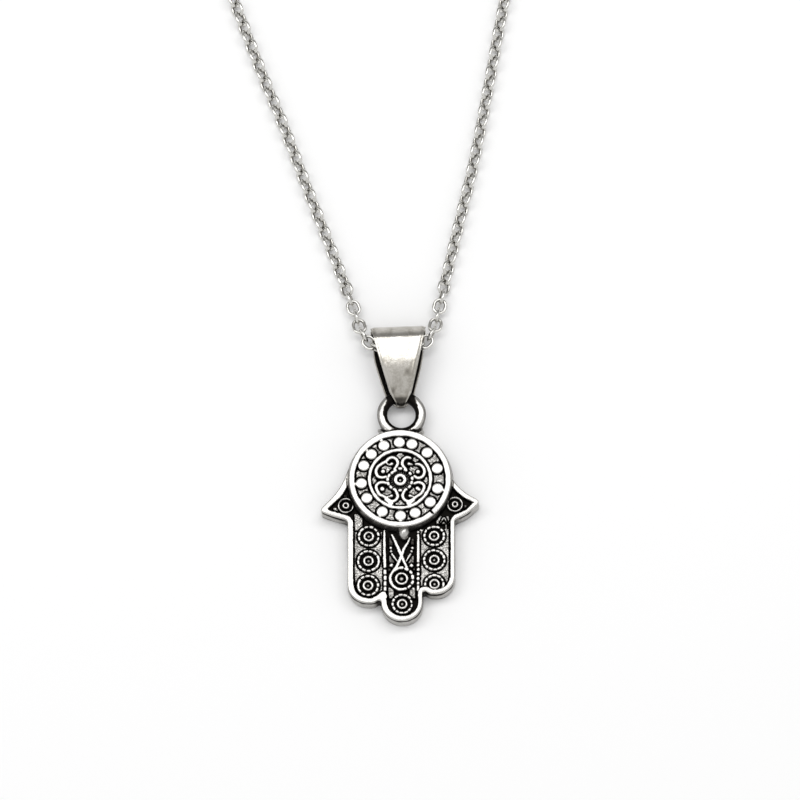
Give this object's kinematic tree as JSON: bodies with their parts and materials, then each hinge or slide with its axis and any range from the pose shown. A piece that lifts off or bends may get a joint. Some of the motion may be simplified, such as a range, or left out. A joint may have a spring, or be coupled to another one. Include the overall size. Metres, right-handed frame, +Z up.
{
  "type": "hamsa pendant necklace",
  "caption": "Cast hand-shaped amulet pendant with a raised round filigree medallion, hung by a tapered folded bail on a fine cable chain with clasp and end ring.",
  "frame": {"origin": "on the pendant's flat back, under the centre of the round medallion, in the plane that the necklace rests on", "axes": "+Z up out of the pendant's decorated face, +Y from the fingertips towards the bail and along the necklace, +X to the right as seen from above"},
  "size_m": [0.0875, 0.2374, 0.0048],
  "materials": {
    "antique_silver": "antiqued cast silver tone, black patina in the recesses, polished high spots",
    "aged_sheet": "antiqued silver tone sheet, mottled, rubbed edges",
    "chain_steel": "polished",
    "clasp_steel": "polished"
  },
  "bodies": {
    "root": {"pendant": "antique_silver", "bail": "aged_sheet", "chain_front": "chain_steel", "chain_back": "chain_steel", "clasp": "clasp_steel", "end_ring": "clasp_steel"}
  },
  "joints": []
}
